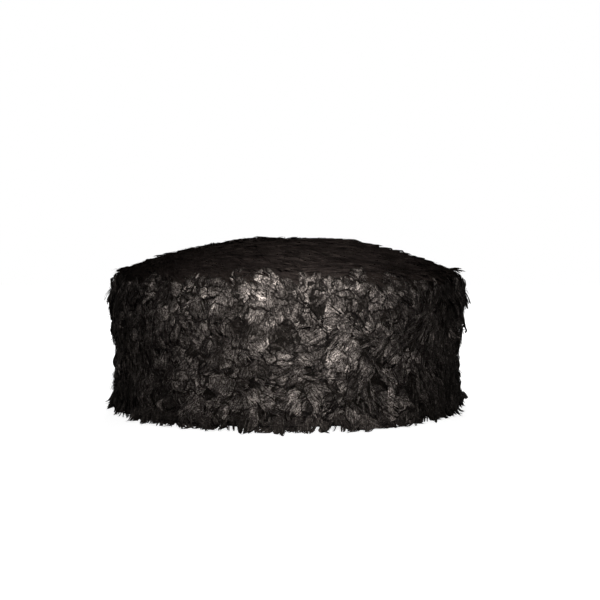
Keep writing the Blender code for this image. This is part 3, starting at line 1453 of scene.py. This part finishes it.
    def cloth(self, material: bpy.types.Material) -> bpy.types.Object:
        """Makes the backing wall, smooth inside and just under the roots of the vanes outside.

        Args:
            material: the cloth's material.

        Returns:
            The wall.
        """
        bottom = self.form.hem_top + SEAM_GAP
        rise = self.form.band_top - bottom
        heights = [bottom + rise * i / self.cloth_rows for i in range(self.cloth_rows + 1)]
        reaches = [self.guide_reach(height) - self.cloth_inset for height in heights]
        outside = [self.form.ring(self.columns, *level) for level in zip(reaches, heights)]
        inside = [self.form.ring(self.columns, 0.0, height) for height in reversed(heights)]
        return lofted("band_cloth", outside + inside, material, closed=True)

    def build(self, maker: FeatherMaker, finishes: dict[str, bpy.types.Material]) -> None:
        """Builds and settles all the pieces of the band.

        Args:
            maker: makes the vanes.
            finishes: the materials by name.
        """
        settle(self.cloth(finishes["cloth"]), BAND_SLOT, "side_band")
        guide = self.guide()
        for layer, name, shapes, cover in (
            (self.under_layer, "under", UNDER_VANES, full_cover),
            (self.strand_layer, "strands", STRAND_VANES, self.strand_cover),
            (self.curled_layer, "curled", CURLED_VANES, self.plate_cover),
            (self.barb_layer, "band_tufts", BAND_TUFTS, self.barb_cover),
        ):
            set_cover(guide, cover)
            strew(guide, maker.collection(name, shapes, 3), layer, finishes)
        drop_guide(guide)


@dataclass
class Crown:
    """The domed top: backing cloth, flat swirled vanes and loose barbs.

    Shares run from 0 in the centre to 1 at the guide's lower edge. The dome takes the first
    part of them and the rounded rim the rest.
    """

    form: HatForm
    columns: int = 180
    rows: int = 40
    innermost: float = 0.015
    dome_part: float = 0.88
    shoulder: float = 0.94
    corner: float = 0.0075
    rim_reach: float = 0.0105
    pile: float = 0.0005
    lump: float = 0.0010
    lump_size: float = 0.024
    lump_seed: float = 5.0
    thickness: float = 0.0090
    ceiling_rows: int = 16
    cloth_drop: float = 0.0012
    cloth_inset: float = 0.001
    cloth_edge: float = 0.0002
    vane_layer: Layer = Layer(
        "crown_vanes", CROWN_SLOT, "crown", spacing=0.0026, density=200000.0, length=0.0125,
        size_spread=0.25, width_spread=0.30, lift=-0.02, lift_spread=0.03, roll=0.15, turn=0.30,
        sink=0.0006, seed=41,
    )
    barb_layer: Layer = Layer(
        "crown_loose_barbs", CROWN_SLOT, "crown", spacing=0.0021, density=300000.0, length=0.0105,
        size_spread=0.35, width_spread=0.3, lift=-0.02, lift_spread=0.05, roll=0.3, turn=0.4,
        sink=0.0, seed=43,
    )

    def profile(self, share: float) -> Span:
        """The guide's profile.

        Args:
            share: the share of the way from the centre.

        Returns:
            The share of the rim's oval, and the height.
        """
        if share <= self.dome_part:
            across = share / self.dome_part * self.shoulder
            return across, self.form.dome(across) - self.pile
        over = (share - self.dome_part) / (1 - self.dome_part) * math.pi / 2
        start = self.form.dome(self.shoulder) - self.pile
        across = self.shoulder + (1.0 - self.shoulder) * math.sin(over)
        return across, start - self.corner * (1 - math.cos(over))

    def levels(self) -> list[Span]:
        """The profile at each row, from the centre out."""
        width = 1.0 - self.innermost
        return [self.profile(self.innermost + width * r / self.rows) for r in range(self.rows + 1)]

    def guide(self) -> bpy.types.Object:
        """Makes the guide surface, from the centre out.

        Returns:
            The guide.
        """
        rows = []
        for across, height in self.levels():
            ring = self.form.ring(self.columns, self.rim_reach, height, across)
            swells = [self.lump * ripple(flat, self.lump_size, self.lump_seed) for flat in ring]
            rows.append([flat + Vector((0, 0, swell)) for flat, swell in zip(ring, swells)])
        lay = LayField(Lay.SWIRLED, 0.75, 1.30, whorl=0.5, whorl_size=0.035, seed=6.0)
        return guide_surface("crown_guide", rows, lay)

    def cloth(self, material: bpy.types.Material) -> bpy.types.Object:
        """Makes the backing dome, with a smooth underside that follows the head.

        Args:
            material: the cloth's material.

        Returns:
            The dome.
        """
        seam = self.form.band_top + SEAM_GAP
        ceiling = self.form.apex - self.thickness
        loops = []
        for across, height in self.levels():
            height = max(height - self.cloth_drop, seam + self.cloth_edge)
            reach = self.rim_reach - self.cloth_inset
            loops.append(self.form.ring(self.columns, reach, height, across))
        for r in range(self.ceiling_rows + 1):
            across = 1.0 - r / self.ceiling_rows * (1.0 - self.innermost)
            height = ceiling - (ceiling - seam) * across**2
            loops.append(self.form.ring(self.columns, 0.0, height, across))
        return lofted("crown_cloth", loops, material, closed=False)

    def build(self, maker: FeatherMaker, finishes: dict[str, bpy.types.Material]) -> None:
        """Builds and settles all the pieces of the crown.

        Args:
            maker: makes the vanes.
            finishes: the materials by name.
        """
        settle(self.cloth(finishes["cloth"]), CROWN_SLOT, "crown")
        guide = self.guide()
        strew(guide, maker.collection("crown_vanes", CROWN_VANES, 3), self.vane_layer, finishes)
        strew(guide, maker.collection("crown_tufts", CROWN_TUFTS, 4), self.barb_layer, finishes)
        drop_guide(guide)


@dataclass
class Seam:
    """The row of short vanes at the band's top edge, whose tips stand over the crown's rim."""

    form: HatForm
    band: SideBand
    depth: float = 0.0060
    outset: float = 0.0012
    rows: int = 4
    layer: Layer = Layer(
        "seam_vanes", BAND_SLOT, "band", spacing=0.0044, density=90000.0, length=0.0078,
        size_spread=0.30, width_spread=0.25, lift=0.0, lift_spread=0.20, roll=0.35, turn=0.7,
        sink=0.0010, seed=61,
    )

    def build(self, maker: FeatherMaker, finishes: dict[str, bpy.types.Material]) -> None:
        """Builds and settles the seam's vanes, of every form but the last.

        Args:
            maker: makes the vanes.
            finishes: the materials by name.
        """
        step = self.depth / (self.rows - 1)
        heights = [self.form.band_top - self.depth + step * r for r in range(self.rows)]
        rows = [list(reversed(self.band.guide_row(height, self.outset))) for height in heights]
        lay = LayField(Lay.WHORLED, 0.0, 0.0, whorl=0.9, whorl_size=0.020, seed=14.0)
        guide = guide_surface("seam_guide", rows, lay)
        strew(guide, maker.collection("seam_vanes", CURLED_VANES[:-1], 2), self.layer, finishes)
        drop_guide(guide)


@dataclass
class Hem:
    """The turned hem: a rolled cloth edge with pointed vanes that splay out over the floor.

    The foot is the least height of the cloth, low at the opening and raised at the outside.
    """

    form: HatForm
    columns: int = 220
    roll_reach: float = 0.0134
    roll_rows: int = 14
    foot_low: float = 0.0014
    foot_rise: float = 0.0034
    highest: float = 0.0088
    lowest: float = 0.0036
    guide_rows: int = 6
    tuck: float = 0.08
    clump_size: float = 0.0075
    clump_seed: float = 33.0
    clump_edge: Span = (-0.25, 0.10)
    short_layer: Layer = Layer(
        "hem_short_vanes", HEM_SLOT, "hem", spacing=0.0016, density=400000.0, length=0.0048,
        size_spread=0.35, width_spread=0.35, lift=0.10, lift_spread=0.25, roll=0.5, turn=0.6,
        sink=0.0005, seed=51,
    )
    pointed_layer: Layer = Layer(
        "hem_pointed_vanes", HEM_SLOT, "hem", spacing=0.0013, density=600000.0, length=0.0088,
        size_spread=0.50, width_spread=0.35, lift=0.13, lift_spread=0.28, roll=0.5, turn=0.95,
        sink=0.0005, seed=53,
    )

    def cloth(self, material: bpy.types.Material) -> bpy.types.Object:
        """Makes the rolled edge of the cloth.

        Args:
            material: the cloth's material.

        Returns:
            The roll.
        """
        middle = self.form.hem_top / 2
        loops = []
        for i in range(self.roll_rows):
            around = TAU * i / self.roll_rows
            out = 0.5 + 0.5 * math.cos(around)
            foot = self.foot_low + (self.foot_rise - self.foot_low) * smooth_step(out, 0.0, 0.5)
            height = max(middle + middle * math.sin(around), foot)
            loops.append(self.form.ring(self.columns, self.roll_reach * out, height))
        return lofted("hem_cloth", loops, material, closed=True)

    def clump_cover(self, point: Vector) -> float:
        """Share of the full count of long tips at a point, so that they stand in clumps."""
        return 0.30 + 0.70 * smooth_step(ripple(point, self.clump_size, self.clump_seed), *self.clump_edge)

    def guide(self) -> bpy.types.Object:
        """Makes the guide surface round the outside of the roll, from the top down.

        Returns:
            The guide.
        """
        rows = []
        for r in range(self.guide_rows + 1):
            share = r / self.guide_rows
            reach = self.roll_reach * (1.0 - self.tuck * share**3)
            height = self.highest - (self.highest - self.lowest) * share
            rows.append(self.form.ring(self.columns, reach, height))
        lay = LayField(Lay.WHORLED, 0.0, 0.0, whorl=0.9, whorl_size=0.030, seed=9.0)
        return guide_surface("hem_guide", rows, lay)

    def build(self, maker: FeatherMaker, finishes: dict[str, bpy.types.Material]) -> None:
        """Builds and settles all the pieces of the hem.

        Args:
            maker: makes the vanes.
            finishes: the materials by name.
        """
        settle(self.cloth(finishes["cloth"]), HEM_SLOT, "hem_fringe")
        guide = self.guide()
        pointed = maker.collection("pointed", POINTED_VANES, 3)
        strew(guide, pointed, self.short_layer, finishes)
        set_cover(guide, self.clump_cover)
        strew(guide, pointed, self.pointed_layer, finishes)
        drop_guide(guide)


def turned_to(target: Colour, place: Colour) -> Euler:
    """The rotation of a light or camera that looks from a place at a target."""
    return (Vector(target) - Vector(place)).to_track_quat("-Z", "Y").to_euler()


@dataclass
class Studio:
    """The floor, the light and the camera. The picture is taken to be 600 by 600 pixels.

    The floor's glow is its brightness from near the hat to the backdrop, over a span of
    distances. The world's brightness differs between the picture and the light it gives.
    """

    distance: float = 0.535
    eye_height: float = 0.0705
    aim: Colour = (0.0071, 0.0, 0.058)
    lens: float = 56.7
    lit_point: Colour = (0.002, 0.0, 0.040)
    floor_radius: float = 8.0
    floor_grey: float = 0.40
    floor_roughness: float = 0.9
    floor_specular: float = 0.1
    glow: Span = (0.86, 1.0)
    glow_distance: Span = (0.10, 0.5)
    world_seen: float = 1.0
    world_light: float = 0.29

    def floor(self) -> None:
        """Makes the plain pale floor, which fades into the white backdrop."""
        bm = bmesh.new()
        bmesh.ops.create_circle(bm, cap_ends=True, segments=96, radius=self.floor_radius)
        floor = mesh_object("floor", bm)
        shader = ShaderBuilder("pale floor")
        tree = shader.tree
        shader.surface("Base Color", (self.floor_grey, self.floor_grey, self.floor_grey, 1.0))
        shader.surface("Emission Color", (1.0, 1.0, 1.0, 1.0))
        shader.surface("Roughness", self.floor_roughness)
        shader.surface("Specular IOR Level", self.floor_specular)
        place = add_node(tree, "ShaderNodeTexCoord").outputs["Object"]
        away = wired(tree, "ShaderNodeVectorMath", {"Vector": place}, operation="LENGTH")
        glow = ranged(tree, away.outputs["Value"], self.glow_distance, self.glow)
        seen = add_node(tree, "ShaderNodeLightPath").outputs["Is Camera Ray"]
        shader.surface("Emission Strength", times(tree, glow, seen))
        floor.data.materials.append(shader.material)

    def world(self) -> None:
        """Makes a plain world, white where it is seen and softer as a light."""
        world = bpy.data.worlds.new("studio")
        bpy.context.scene.world = world
        world.use_nodes = True
        tree = world.node_tree
        background = tree.nodes["Background"]
        background.inputs["Color"].default_value = (1.0, 1.0, 1.0, 1.0)
        seen = add_node(tree, "ShaderNodeLightPath").outputs["Is Camera Ray"]
        strength = ranged(tree, seen, (0.0, 1.0), (self.world_light, self.world_seen))
        feed(tree, strength, background.inputs["Strength"])

    def light(self, name: str, place: Colour, size: float, power: float, beam: float = 180.0) -> None:
        """Makes a soft square light that faces the hat.

        Args:
            name: its name.
            place: where it stands.
            size: the length of its side.
            power: its power in watts.
            beam: the full angle of its beam, in degrees.
        """
        lamp = bpy.data.lights.new(name, "AREA")
        lamp.shape = "SQUARE"
        lamp.size = size
        lamp.energy = power
        lamp.spread = math.radians(beam)
        obj = bpy.data.objects.new(name, lamp)
        obj.location = place
        obj.rotation_euler = turned_to(self.lit_point, place)
        bpy.context.scene.collection.objects.link(obj)

    def camera(self) -> None:
        """Makes the camera, at the height and angle of the photograph."""
        data = bpy.data.cameras.new("camera")
        data.lens = self.lens
        data.clip_start = 0.01
        camera = bpy.data.objects.new("camera", data)
        camera.location = (self.aim[0], -self.distance, self.eye_height)
        camera.rotation_euler = turned_to(self.aim, camera.location)
        bpy.context.scene.collection.objects.link(camera)
        bpy.context.scene.camera = camera

    def build(self) -> None:
        """Builds the studio."""
        self.camera()
        self.floor()
        self.world()
        self.light("front softbox", (0.016, -0.46, 0.135), 0.08, 0.152, beam=23.5)
        self.light("top softbox", (0.0, 0.1, 1.3), 1.2, 2.6)
        self.light("back softbox", (0.0, 1.2, 0.5), 0.6, 8.0)
        bpy.context.scene.view_settings.view_transform = "Standard"


def main() -> None:
    """Builds the hat and its studio."""
    logging.basicConfig(level=logging.INFO, format="%(name)s: %(message)s")
    form = HatForm.from_frame()
    Studio().build()
    finishes = {name: finish.make() for name, finish in FINISHES.items()}
    maker = FeatherMaker(random.Random(5))
    band = SideBand(form)
    band.build(maker, finishes)
    Seam(form, band).build(maker, finishes)
    Crown(form).build(maker, finishes)
    Hem(form).build(maker, finishes)


if __name__ == "__main__":
    main()
